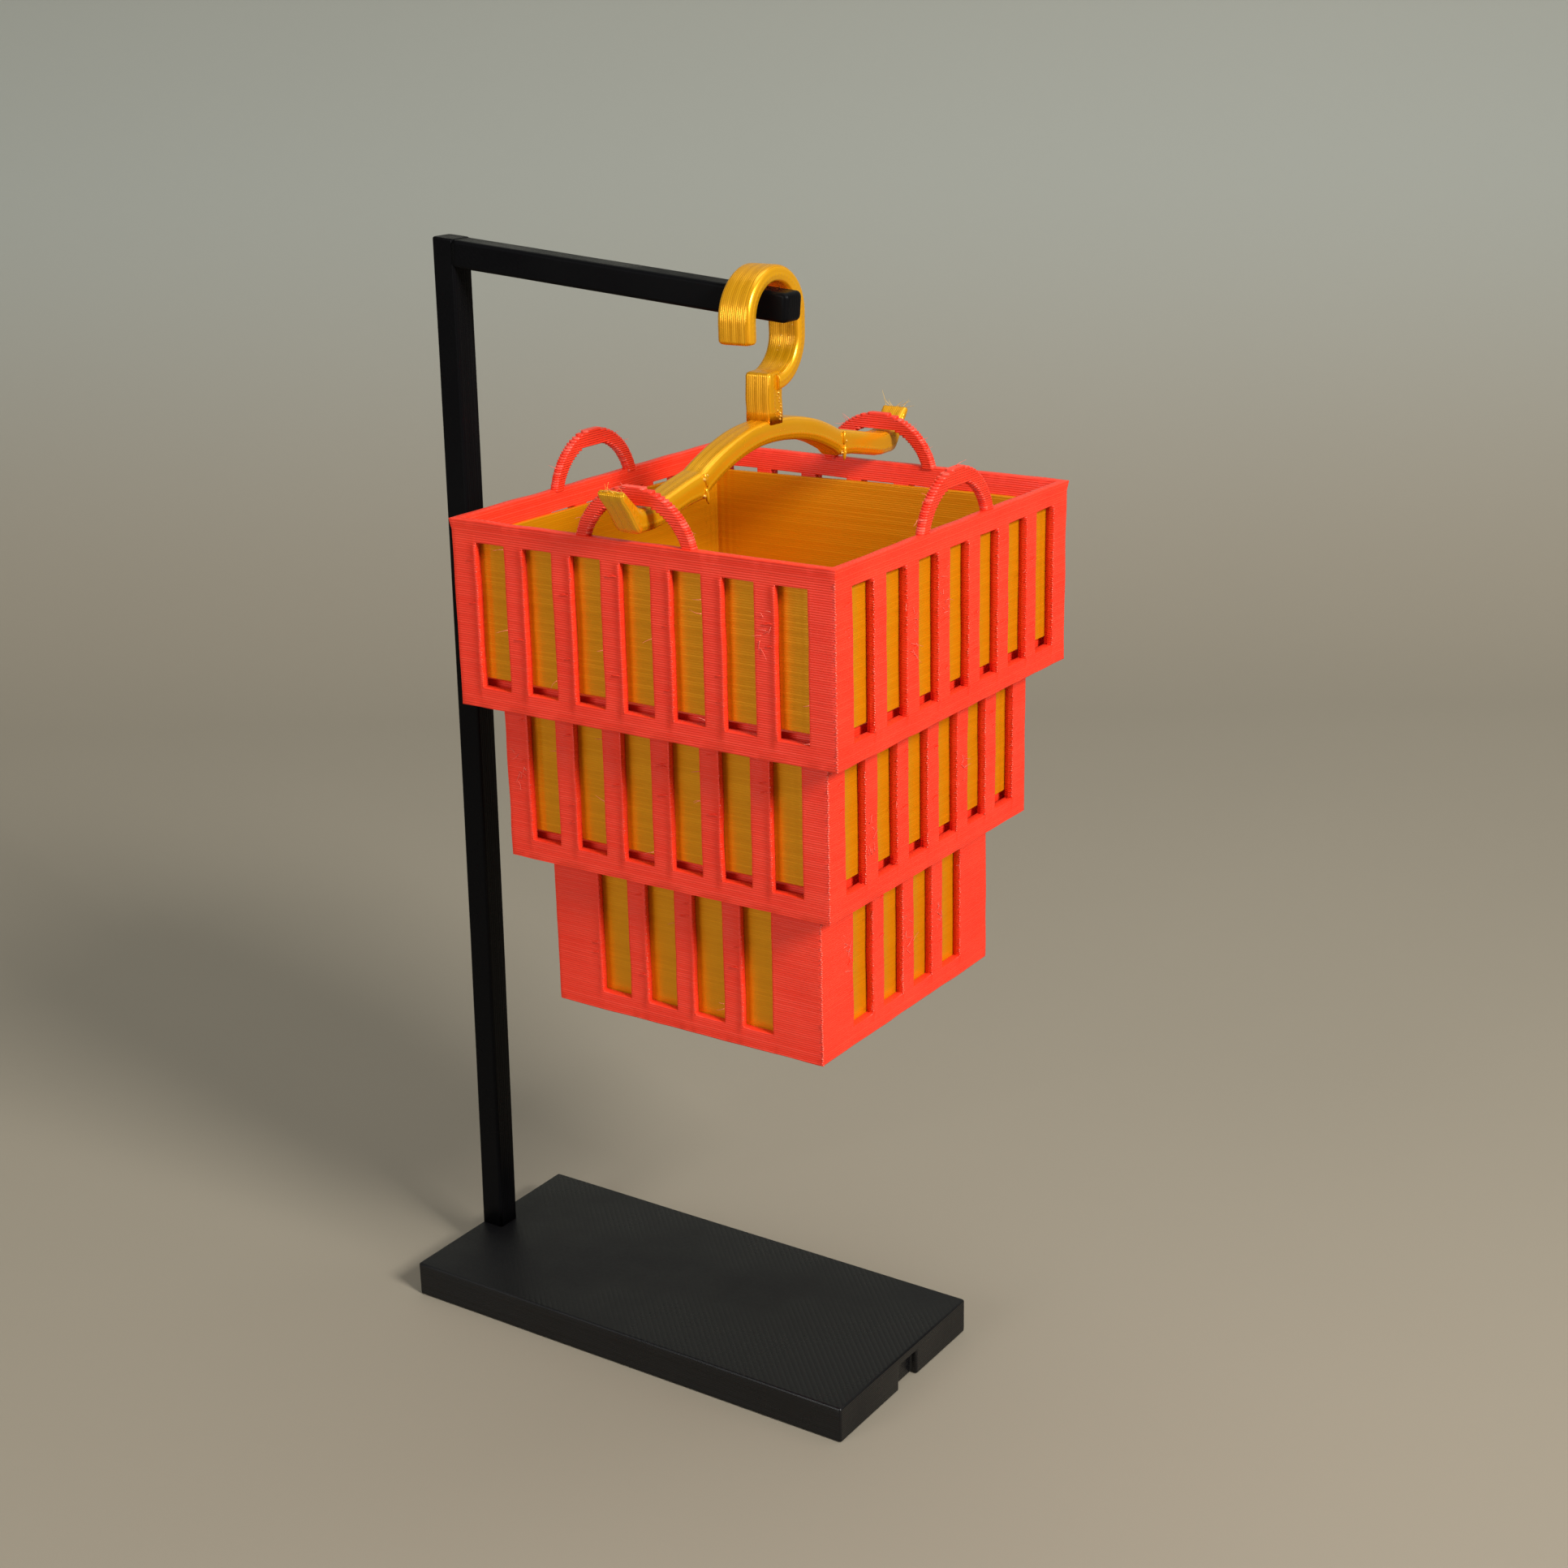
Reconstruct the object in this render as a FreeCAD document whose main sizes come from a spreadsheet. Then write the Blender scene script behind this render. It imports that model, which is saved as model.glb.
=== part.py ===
import FreeCAD, Part
import os
import Sketcher
from math import atan2, cos, floor, radians, sin, sqrt, tan

# Small three-tier hanging lantern on an L-shaped stand.
# Origin: centre of the base's underside. X runs along the arm, the post at -X;
# Y runs across the base, the front at -Y; Z is up. Millimetres.

doc = FreeCAD.newDocument("TieredLantern")
sheet = doc.addObject("Spreadsheet::Sheet", "Sizes")

SIZES = [
    # stand
    ("base_length", 50.0),
    ("base_width", 22.5),
    ("base_height", 3.5),
    ("base_corner", 0.3),
    ("notch_width", 3.2),       # shallow notch in the base's front end
    ("notch_height", 2.5),
    ("notch_depth", 0.7),
    ("notch_offset", 0.5),      # its centre, off the base's middle line
    ("post_width", 2.5),
    ("post_height", 100.0),     # above the base
    ("post_lean", 0.88),        # degrees, towards the lantern
    ("arm_width", 2.5),
    ("arm_depth", 2.5),
    ("arm_length", 38.79),      # along the arm, from the post's back face
    ("arm_droop", 4.6),         # degrees below level
    ("arm_corner", 0.4),
    # hanger
    ("hook_setback", 3.7),      # arm's tip to the middle of the hook
    ("hook_width", 3.2),
    ("hook_band", 1.4),
    ("hook_radius", 3.0),       # inside
    ("hook_straight", 1.65),    # back limb, between its two bends
    ("hook_lip", 1.75),         # front limb, below the bend
    ("hook_edge", 0.35),
    ("hook_gap", 0.2),          # hook to arm
    ("hanger_drop", 8.5),       # centre of the hook's bend to the bow's top
    ("stem_depth", 2.0),
    ("bow_width", 2.6),
    ("bow_depth", 2.0),
    ("bow_half", 10.6),         # centre to shoulder
    ("bow_rise", 2.6),          # shoulder to the top of the arch
    ("bow_fall", 1.4),          # shoulder to saddle
    ("bow_edge", 0.35),
    ("saddle_gap", 0.8),        # each side of a handle
    ("tip_rise", 1.75),
    ("tip_flare", 0.8),
    ("tip_band", 1.2),
    # lantern
    ("top_size", 38.0),         # each lower tier is as large as fits inside the one above
    ("tier_height", 16.2),
    ("tier_overlap", 2.1),      # of one tier with the next
    ("wall", 0.8),
    ("wall_corner", 0.3),
    ("rail", 1.8),              # solid strip above and below the slots
    ("slot_width", 3.0),
    ("slot_pitch", 5.0),
    ("top_margin", 2.5),        # solid strip beside the outermost slots
    ("middle_margin", 2.5),
    ("bottom_margin", 5.0),
    ("liner_wall", 0.5),
    ("liner_below", 0.4),       # liner's top edge, below the slots' top
    ("liner_above", 0.4),       # liner's bottom edge, above the next flange
    ("ledge_height", 0.8),
    ("flange_reach", 1.0),      # each side, beyond the tier's own wall
    ("slide_gap", 0.2),         # each side, between sliding tiers
    ("rest_gap", 0.1),          # flange to the ledge it hangs on
    ("floor_height", 1.0),
    # handles
    ("handle_radius", 6.1),     # outside
    ("handle_band", 1.2),
    ("handle_sink", 1.6),       # arc's centre, below the rim
    ("handle_inside", 3.1),     # rim to the flat under the crown
    ("handle_gap", 0.2),        # crown to saddle
]

for row, (alias, value) in enumerate(SIZES, start=1):
    sheet.set("A%d" % row, alias)
    sheet.set("B%d" % row, str(value))
    sheet.setAlias("B%d" % row, alias)
doc.recompute()


class Dim:
    """A length that knows its number and the expression it comes from."""

    def __init__(self, text, value):
        self.text = text
        self.value = float(value)

    def join(self, sign, other, value, turned=False):
        other = asDim(other)
        a, b = (other, self) if turned else (self, other)
        return Dim("(%s %s %s)" % (a.text, sign, b.text), value)

    def __add__(self, other):
        return self.join("+", other, self.value + asDim(other).value)

    def __sub__(self, other):
        return self.join("-", other, self.value - asDim(other).value)

    def __rsub__(self, other):
        return self.join("-", other, asDim(other).value - self.value, True)

    def __mul__(self, other):
        return self.join("*", other, self.value * asDim(other).value)

    def __truediv__(self, other):
        return self.join("/", other, self.value / asDim(other).value)

    def __neg__(self):
        return Dim("(-1 * %s)" % self.text, -self.value)

    __radd__ = __add__
    __rmul__ = __mul__


def asDim(value):
    return value if isinstance(value, Dim) else Dim("%.6g" % value, value)


def root(dim):
    return Dim("sqrt(%s)" % dim.text, sqrt(dim.value))


def sinOf(dim):
    return Dim("sin(%s)" % dim.text, sin(radians(dim.value)))


def cosOf(dim):
    return Dim("cos(%s)" % dim.text, cos(radians(dim.value)))


def tanOf(dim):
    return Dim("tan(%s)" % dim.text, tan(radians(dim.value)))


def floorOf(dim):
    return Dim("floor(%s)" % dim.text, floor(dim.value))


def size(alias):
    return Dim("Sizes." + alias, sheet.get(alias))


def bind(target, prop, dim):
    target.setExpression(prop, asDim(dim).text)


def newBody(label, x=0, y=0, z=0, turn=0):
    body = doc.addObject("PartDesign::Body", label)
    body.Label = label
    spot = FreeCAD.Vector(*(asDim(v).value for v in (x, y, z)))
    body.Placement = FreeCAD.Placement(spot, FreeCAD.Rotation(FreeCAD.Vector(0, 0, 1), turn))
    for axis, dim in (("x", x), ("y", y), ("z", z)):
        bind(body, "Placement.Base." + axis, dim)
    return body


def newSketch(body, plane, name="Sketch"):
    sketch = body.newObject("Sketcher::SketchObject", name)
    face = [o for o in body.Origin.OriginFeatures if o.Role == plane + "_Plane"][0]
    sketch.AttachmentSupport = [(face, "")]
    sketch.MapMode = "FlatFace"
    return sketch


def pin(sketch, geo, end, spot):
    """Tie one end point of a line or arc to a place."""
    for kind, dim in zip(("DistanceX", "DistanceY"), spot):
        dim = asDim(dim)
        where = sketch.addConstraint(Sketcher.Constraint(kind, -1, 1, geo, end, dim.value))
        if dim.text != "0":
            bind(sketch, "Constraints[%d]" % where, dim)


def outline(sketch, points):
    """Close a loop through points; (u, v, radius, cu, cv) starts a round stretch about cu, cv."""
    count = len(points)
    geos, starts = [], []
    for n, point in enumerate(points):
        after = points[(n + 1) % count]
        a, b = [FreeCAD.Vector(asDim(p[0]).value, asDim(p[1]).value, 0) for p in (point, after)]
        if len(point) == 2:
            geos.append(sketch.addGeometry(Part.LineSegment(a, b), False))
            starts.append(1)
            continue
        middle = FreeCAD.Vector(asDim(point[3]).value, asDim(point[4]).value, 0)
        low, high = [atan2(v.y - middle.y, v.x - middle.x) for v in (a, b)]
        anticlockwise = (high - low) % (2 * 3.14159265) < 3.1416
        if not anticlockwise:
            low, high = high, low
        ring = Part.Circle(middle, FreeCAD.Vector(0, 0, 1), asDim(point[2]).value)
        geos.append(sketch.addGeometry(Part.ArcOfCircle(ring, low, high), False))
        starts.append(1 if anticlockwise else 2)
    for n in range(count):
        m = (n + 1) % count
        end = 3 - starts[n]
        sketch.addConstraint(Sketcher.Constraint("Coincident", geos[n], end, geos[m], starts[m]))
        pin(sketch, geos[n], starts[n], points[n][:2])
    for geo, point in zip(geos, points):
        if len(point) == 5:
            radius = asDim(point[2])
            where = sketch.addConstraint(Sketcher.Constraint("Radius", geo, radius.value))
            bind(sketch, "Constraints[%d]" % where, radius)


def rectangle(sketch, left, low, right, high):
    outline(sketch, [(left, low), (right, low), (right, high), (left, high)])


def pad(body, sketch, length):
    feature = body.newObject("PartDesign::Pad", "Pad")
    feature.Profile = sketch
    bind(feature, "Length", length)
    doc.recompute()
    return feature


def pocket(body, sketch, depth, flip=False):
    before = body.Shape.Volume
    feature = body.newObject("PartDesign::Pocket", "Pocket")
    feature.Profile = sketch
    feature.Reversed = flip
    bind(feature, "Length", depth)
    doc.recompute()
    assert body.Shape.Volume < before - 0.01, body.Label + ": pocket cut nothing"
    return feature


def edgesWhere(feature, test):
    return ["Edge%d" % n for n, edge in enumerate(feature.Shape.Edges, start=1) if test(edge)]


def spans(edge, axis):
    """True for a straight edge along one axis."""
    box = edge.BoundBox
    others = {"X": (box.YLength, box.ZLength), "Y": (box.XLength, box.ZLength),
              "Z": (box.XLength, box.YLength)}[axis]
    return max(others) < 1e-4


def fillet(body, base, edges, radius):
    feature = body.newObject("PartDesign::Fillet", "Fillet")
    feature.Base = (base, edges)
    bind(feature, "Radius", radius)
    doc.recompute()
    return feature


# ---- places that the pieces share ----

baseTop = size("base_height")
postBack = -size("base_length") / 2
postTop = baseTop + size("post_height")
cornerX = postBack + size("post_height") * tanOf(size("post_lean"))  # arm's upper back corner

armTipX = cornerX + size("arm_length") * cosOf(size("arm_droop"))
lanternX = armTipX - size("hook_setback")
armSlope = tanOf(size("arm_droop"))
hookBack = lanternX - size("hook_width") / 2
armTopAtHook = postTop - (hookBack - cornerX) * armSlope

# the bar's two rounded corners carry the hook's bend
cradle = size("hook_radius") - size("hook_gap") - size("arm_corner")
cornerOut = size("arm_width") / 2 - size("arm_corner")
hookCentre = armTopAtHook - size("arm_corner") - root(cradle * cradle - cornerOut * cornerOut)
lowBend = hookCentre - size("hook_straight")

bowTop = hookCentre - size("hanger_drop")
shoulder = bowTop - size("bow_rise")
saddle = shoulder - size("bow_fall")
rim = saddle + size("handle_gap") - size("handle_inside")

tierStep = size("tier_height") - size("tier_overlap")
tierInset = size("wall") + size("liner_wall") + size("slide_gap") + size("flange_reach")
tiers = {}
tierHalf, tierLow = size("top_size") / 2, rim - size("tier_height")
for name in ("top", "middle", "bottom"):
    tiers[name] = (tierHalf, tierLow)
    tierHalf, tierLow = tierHalf - tierInset, tierLow - tierStep


# ---- stand ----

def makeBase():
    body = newBody("base_plate")
    half, across = size("base_length") / 2, size("base_width") / 2
    plan = newSketch(body, "XY")
    rectangle(plan, -half, -across, half, across)
    block = pad(body, plan, size("base_height"))
    edges = edgesWhere(block, lambda e: spans(e, "Z"))
    fillet(body, block, edges, size("base_corner"))
    side = size("notch_width") / 2
    notch = newSketch(body, "XY", "NotchSketch")
    rectangle(notch, half - size("notch_depth"), size("notch_offset") - side,
              half + 1, size("notch_offset") + side)
    pocket(body, notch, size("notch_height"), flip=True)


def makePost():
    width = size("post_width")
    body = newBody("post", y=width / 2)
    front = postBack + width
    shift = size("post_height") * tanOf(size("post_lean"))
    run = width / (armSlope * tanOf(size("post_lean")) + 1)
    profile = newSketch(body, "XZ")
    outline(profile, [(postBack, baseTop), (front, baseTop),
                      (cornerX + run, postTop - run * armSlope), (postBack + shift, postTop)])
    block = pad(body, profile, width)
    uprights = edgesWhere(block, lambda e: e.Length > size("post_height").value * 0.9)
    fillet(body, block, uprights, size("base_corner"))


def makeArm():
    width = size("arm_width")
    body = newBody("arm", y=width / 2)
    lean = tanOf(size("post_lean"))
    drop = size("arm_depth") / cosOf(size("arm_droop"))
    upper = size("post_width") / (armSlope * lean + 1)
    lower = (size("post_width") - drop * lean) / (armSlope * lean + 1)
    tipZ = postTop - size("arm_length") * sinOf(size("arm_droop"))
    lowX = armTipX - size("arm_depth") * sinOf(size("arm_droop"))
    lowZ = tipZ - size("arm_depth") * cosOf(size("arm_droop"))
    profile = newSketch(body, "XZ")
    outline(profile, [(cornerX + upper, postTop - upper * armSlope), (armTipX, tipZ), (lowX, lowZ),
                      (cornerX + lower, postTop - lower * armSlope - drop)])
    block = pad(body, profile, width)
    rear = (cornerX + size("post_width")).value + 0.5
    edges = edgesWhere(block, lambda e: e.BoundBox.XMax > rear)
    fillet(body, block, edges, size("arm_corner"))


# ---- hanger ----

def makeHook():
    body = newBody("hanger_hook", x=hookBack)
    inner, outer = size("hook_radius"), size("hook_radius") + size("hook_band")
    back = size("stem_depth") / 2
    lip = hookCentre - size("hook_lip")
    profile = newSketch(body, "YZ")
    outline(profile, [
        (-outer, lip),
        (-outer, hookCentre, outer, 0, hookCentre),
        (0, hookCentre + outer, outer, 0, hookCentre),
        (outer, hookCentre),
        (outer, lowBend, outer, 0, lowBend),
        (back, lowBend - root(outer * outer - back * back)),
        (back, lowBend - root(inner * inner - back * back), inner, 0, lowBend),
        (inner, lowBend),
        (inner, hookCentre, inner, 0, hookCentre),
        (0, hookCentre + inner, inner, 0, hookCentre),
        (-inner, hookCentre),
        (-inner, lip)])
    block = pad(body, profile, size("hook_width"))
    rims = edgesWhere(block, lambda e: e.BoundBox.XLength < 1e-4 and e.BoundBox.YMin < back.value - 0.1
                      or e.BoundBox.XLength < 1e-4 and e.BoundBox.YLength > 0.1)
    fillet(body, block, rims, size("hook_edge"))


def makeBow():
    body = newBody("hanger_bow", x=lanternX - size("bow_width") / 2)
    half, back = size("bow_half"), size("stem_depth") / 2
    over = (half * half + size("bow_rise") * size("bow_rise")) / (size("bow_rise") * 2)
    under = over - size("bow_depth")
    middle = bowTop - over
    inner = size("hook_radius")
    stemTop = lowBend - root(inner * inner - back * back)
    outside = size("top_size") / 2
    saddleIn = outside - size("wall") - size("saddle_gap")
    saddleOut = outside + size("saddle_gap")
    low = saddle - size("bow_depth")
    top = saddle + size("tip_rise")
    right = [
        (back, stemTop),
        (back, middle + root(over * over - back * back), over, 0, middle),
        (half, shoulder),
        (saddleIn, saddle),
        (saddleOut, saddle),
        (saddleOut + size("tip_flare"), top),
        (saddleOut + size("tip_flare") + size("tip_band"), top - size("tip_band") / 4),
        (saddleOut - size("tip_flare") / 2, low),
        (saddleIn, low),
        (half, middle + root(under * under - half * half), under, 0, middle)]
    left = [(-p[0], p[1]) for p in reversed(right)]
    # an arc is listed at the point that it leaves, which is the other end once mirrored
    left[-3] = (-half, shoulder, over, 0, middle)
    profile = newSketch(body, "YZ")
    outline(profile, right + left)
    block = pad(body, profile, size("bow_width"))
    rims = edgesWhere(block, lambda e: e.BoundBox.XLength < 1e-4
                      and e.BoundBox.ZMax < bowTop.value + 0.01)
    fillet(body, block, rims, size("bow_edge"))


# ---- lantern ----

SIDES = {"front": 0, "right": 90, "back": 180, "left": 270}


def outward(turn, distance):
    """Place on the side that a turn faces, a distance out from the lantern's centre."""
    angle = radians(turn - 90)
    return lanternX + distance * round(cos(angle)), distance * round(sin(angle))


def makeWall(tier, side):
    """One slotted side; front and back run the full width, the other two fit between them."""
    half, low = tiers[tier]
    turn = SIDES[side]
    short = turn % 180 != 0
    x, y = outward(turn, half - size("wall"))
    body = newBody("%s_wall_%s" % (tier, side), x, y, low, turn)
    reach = half - size("wall") if short else half
    face = newSketch(body, "XZ")
    rectangle(face, -reach, 0, reach, size("tier_height"))
    block = pad(body, face, size("wall"))
    if not short:
        outer = edgesWhere(block, lambda e: spans(e, "Z")
                           and e.BoundBox.YMin < -size("wall").value + 0.01)
        fillet(body, block, outer, size("wall_corner"))
    pitch = size("slot_pitch")
    room = half * 2 - size(tier + "_margin") * 2 - size("slot_width")
    count = floorOf(room / pitch + 0.001) + 1
    first = -pitch * (count - 1) / 2 - size("slot_width") / 2
    slot = newSketch(body, "XZ", "SlotSketch")
    rectangle(slot, first, size("rail"), first + size("slot_width"),
              size("tier_height") - size("rail"))
    cut = pocket(body, slot, size("wall"), flip=True)
    one = body.Shape.Volume
    row = body.newObject("PartDesign::LinearPattern", "Slots")
    row.Originals = [cut]
    row.Direction = (slot, ["H_Axis"])
    bind(row, "Length", pitch * (count - 1))
    bind(row, "Occurrences", count)
    body.Tip = row
    doc.recompute()
    assert body.Shape.Volume < one - 1, body.Label + ": slots missing"


def makeRing(label, outer, inner, low, height):
    """A square ring about the lantern's centre."""
    body = newBody(label, x=lanternX, z=low)
    plan = newSketch(body, "XY")
    rectangle(plan, -outer, -outer, outer, outer)
    rectangle(plan, -inner, -inner, inner, inner)
    pad(body, plan, height)


def makeTier(name, above=None, below=None):
    half, low = tiers[name]
    for side in SIDES:
        makeWall(name, side)
    inside = half - size("wall")
    bore = inside - size("liner_wall")
    slotTop = low + size("tier_height") - size("rail")
    linerTop = slotTop - size("liner_below")
    if below:
        opening = tiers[below][0] + size("slide_gap")
        makeRing(name + "_ledge", inside, opening, low, size("ledge_height"))
        flangeTop = tiers[below][1] + size("tier_height")
        linerLow = flangeTop + size("liner_above")
    else:
        floor = newBody(name + "_floor", x=lanternX, z=low)
        plan = newSketch(floor, "XY")
        rectangle(plan, -inside, -inside, inside, inside)
        pad(floor, plan, size("floor_height"))
        linerLow = low + size("floor_height")
    makeRing(name + "_liner", inside, bore, linerLow, linerTop - linerLow)
    if above:
        underside = tiers[above][1] + size("ledge_height") + size("rest_gap")
        makeRing(name + "_flange", half + size("flange_reach"), half, underside,
                 low + size("tier_height") - underside)


def makeHandle(side):
    half = tiers["top"][0]
    turn = SIDES[side]
    x, y = outward(turn, half - size("wall"))
    body = newBody("handle_" + side, x, y, rim, turn)
    outer = size("handle_radius")
    inner = outer - size("handle_band")
    sink = size("handle_sink")
    rootOut = root(outer * outer - sink * sink)
    rootIn = root(inner * inner - sink * sink)
    flat = size("handle_inside")
    flatEnd = root(inner * inner - (flat + sink) * (flat + sink))
    arch = newSketch(body, "XZ")
    outline(arch, [
        (-rootOut, 0, outer, 0, -sink),
        (rootOut, 0),
        (rootIn, 0, inner, 0, -sink),
        (flatEnd, flat),
        (-flatEnd, flat, inner, 0, -sink),
        (-rootIn, 0)])
    pad(body, arch, size("wall"))


makeBase()
makePost()
makeArm()
makeHook()
makeBow()
makeTier("top", below="middle")
makeTier("middle", above="top", below="bottom")
makeTier("bottom", above="middle")
for side in SIDES:
    makeHandle(side)
doc.recompute()

for thing in doc.Objects:
    assert not {"Invalid", "Error"} & set(thing.State), thing.Label + " has a fault"
os.makedirs("parts", exist_ok=True)
for body in doc.findObjects("PartDesign::Body"):
    shape = body.Shape
    assert not shape.isNull() and shape.isValid() and len(shape.Solids) == 1, body.Label
    shape.exportStep("parts/%s.step" % body.Label)
    box = shape.BoundBox
    print("%-20s %7.2f %7.2f  %7.2f %7.2f  %7.2f %7.2f" % (
        body.Label, box.XMin, box.XMax, box.YMin, box.YMax, box.ZMin, box.ZMax))
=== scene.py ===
import random
from math import atan2, ceil, cos, pi, radians, sin, sqrt
import bpy
import bmesh
from mathutils import Matrix, Vector, noise


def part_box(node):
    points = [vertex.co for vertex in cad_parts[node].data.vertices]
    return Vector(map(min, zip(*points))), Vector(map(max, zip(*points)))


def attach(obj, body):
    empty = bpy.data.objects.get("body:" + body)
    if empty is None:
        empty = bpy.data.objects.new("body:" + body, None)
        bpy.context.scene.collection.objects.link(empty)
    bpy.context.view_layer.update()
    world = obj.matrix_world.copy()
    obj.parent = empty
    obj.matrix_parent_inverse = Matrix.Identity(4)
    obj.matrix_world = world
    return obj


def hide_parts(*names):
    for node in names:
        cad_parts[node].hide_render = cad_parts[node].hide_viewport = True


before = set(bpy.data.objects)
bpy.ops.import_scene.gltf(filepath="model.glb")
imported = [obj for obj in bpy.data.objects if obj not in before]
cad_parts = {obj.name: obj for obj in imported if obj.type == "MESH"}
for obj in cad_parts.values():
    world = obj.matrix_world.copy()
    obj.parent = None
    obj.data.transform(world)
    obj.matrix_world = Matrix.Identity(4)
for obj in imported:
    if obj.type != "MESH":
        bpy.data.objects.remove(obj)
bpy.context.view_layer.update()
mm = 0.001
sides = {"front": 0, "right": 90, "back": 180, "left": 270}  # turn about Z from the front
print("frame loaded:", len(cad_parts), "nodes")


class Wire:  # a socket that can be used in sums
    def __init__(self, graph, socket):
        self.graph, self.socket = graph, socket

    def maths(self, operation, *values):
        return self.graph.node("ShaderNodeMath", {"operation": operation}, dict(enumerate(values)))

    def __add__(self, other):
        return self.maths("ADD", self, other)

    def __sub__(self, other):
        return self.maths("SUBTRACT", self, other)

    def __rsub__(self, other):
        return self.maths("SUBTRACT", other, self)

    def __mul__(self, other):
        return self.maths("MULTIPLY", self, other)

    def __truediv__(self, other):
        return self.maths("DIVIDE", self, other)

    def __rtruediv__(self, other):
        return self.maths("DIVIDE", other, self)

    def __abs__(self):
        return self.maths("ABSOLUTE", self)

    __radd__ = __add__
    __rmul__ = __mul__

    def fraction(self):
        return self.maths("FRACT", self)

    def whole(self):
        return self.maths("FLOOR", self)

    def wave(self):
        return self.maths("SINE", self)

    def upTo(self, other):
        return self.maths("MINIMUM", self, other)

    def atLeast(self, other):
        return self.maths("MAXIMUM", self, other)

    def between(self, low, high):  # 0 at low, 1 at high, smooth
        return self.graph.node("ShaderNodeMapRange", {"interpolation_type": "SMOOTHSTEP"},
                               {"Value": self, "From Min": low, "From Max": high})


class Finish:  # one material's nodes
    def __init__(self, name):
        self.material = bpy.data.materials.new(name)
        self.material.use_nodes = True
        self.tree = self.material.node_tree
        self.tree.nodes.clear()

    def node(self, kind, settings=None, values=None, output=0):
        made = self.tree.nodes.new(kind)
        for key, value in (settings or {}).items():
            setattr(made, key, value)
        for key, value in (values or {}).items():
            if isinstance(value, Wire):
                self.tree.links.new(value.socket, made.inputs[key])
            else:
                made.inputs[key].default_value = value
        return Wire(self, made.outputs[output]) if made.outputs else made

    def split(self, vector):
        made = self.node("ShaderNodeSeparateXYZ", values={"Vector": vector}).socket.node
        return [Wire(self, made.outputs[n]) for n in range(3)]

    def grain(self, vector, scale, detail=2.0, rough=0.5):  # noise, about 0 to 1
        return self.node("ShaderNodeTexNoise", values={
            "Vector": vector, "Scale": scale, "Detail": detail, "Roughness": rough}, output="Fac")

    def chance(self, number):  # one random value for each whole number
        return self.node("ShaderNodeTexWhiteNoise", {"noise_dimensions": "1D"},
                         {"W": number}, output="Value")

    def blend(self, amount, first, second):
        mixed = self.node("ShaderNodeMix", {"data_type": "RGBA"}, {0: amount, 6: first, 7: second})
        return Wire(self, mixed.socket.node.outputs[2])

    def attribute(self, name):
        return self.node("ShaderNodeAttribute", {"attribute_name": name}, output="Fac")


def bead(position, period):  # rounded profile of one printed line, 0 to 1
    part = (position / period).fraction()
    return 4 * part * (1 - part)


def printedPlastic(name, look):
    finish = Finish(name)
    place = finish.node("ShaderNodeTexCoord", output="Object")
    facing = finish.node("ShaderNodeTexCoord", output="Normal")
    spot = [axis * 1000 for axis in finish.split(place)]  # millimetres
    turned = [abs(axis) for axis in finish.split(facing)]
    up = look["layerAxis"]
    others = [n for n in range(3) if n != up]
    flat = turned[up].between(0.75, 0.95)  # 1 where the surface lies in a layer
    sway = finish.grain(place, look["swayScale"], 1.0) - 0.5
    height = spot[up] + sway * look["sway"]
    layerNumber = (height / look["layer"]).whole()
    luck = finish.chance(layerNumber)
    broad = finish.grain(place, look["patchScale"], 3.0)
    fine = finish.grain(place, look["fineScale"], 4.0, 0.6)

    ridges = bead(height, look["layer"]) * (0.75 + luck * 0.5)
    diagonal = (spot[others[0]] + spot[others[1]]) * 0.7071
    raster = bead(diagonal + sway * look["sway"] * 2, look["line"])
    across = abs(finish.attribute("across") - look["line"])  # from the outline pass beside an edge
    dots = 0.75 + (finish.attribute("along") * (2 * pi / 0.45)).wave() * 0.25
    rim = (1 - across.between(0.02, 0.24)) * dots
    onFlat = raster * (look["lineEven"] + (1 - look["lineEven"]) * broad.between(0.42, 0.62))
    if look["outlined"]:
        onFlat = rim
    relief = (ridges * look["ridgeDepth"] * (1 - flat) + onFlat * look["lineDepth"] * flat
              + broad * look["waveDepth"] + fine * look["fineDepth"]
              + luck * look["ridgeDepth"] * look["uneven"])
    if look["ringing"]:  # ghost waves that fade away from a corner
        gap = finish.attribute("corner")
        fading = 1 - gap.between(0.2, 4.0)
        relief = relief + (gap * (2 * pi / 0.8)).wave() * fading * look["ringing"]
    bump = finish.node("ShaderNodeBump", values={
        "Strength": look["bumpStrength"], "Distance": 0.001, "Height": relief}, output="Normal")

    tone = (broad - 0.5) * look["toneVary"] + (luck - 0.5) * look["layerVary"] + 0.5
    tone = tone - (1 - ridges) * look["grooveShade"] * (1 - flat)
    colour = finish.blend(tone.atLeast(0.0).upTo(1.0), look["deep"], look["bright"])
    # painted highlight: marked vertices are mixed towards the pale colour, partly scuffed plastic
    # and partly the whitish glint of gloss
    wearAndSheen = finish.attribute("seamAndSheen")
    colour = finish.blend(wearAndSheen * (0.5 + fine * 0.5), colour, look["pale"])
    rough = (look["rough"] + (0.5 - broad) * look["smudge"] + (fine - 0.5) * look["roughVary"]
             + (luck - 0.5) * look["roughLayer"])

    surface = finish.node("ShaderNodeBsdfPrincipled", values={
        "Base Color": colour, "Roughness": rough.atLeast(0.08).upTo(0.9), "Normal": bump,
        "Metallic": look["metal"], "Coat Weight": look["coat"], "Coat Roughness": look["coatRough"],
        "Specular IOR Level": look["specular"], "IOR": 1.46,
        "Subsurface Weight": look["inner"], "Subsurface Scale": 0.0006,
        "Subsurface Radius": look["innerReach"]})
    finish.node("ShaderNodeOutputMaterial", values={"Surface": surface})
    return finish.material


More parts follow.
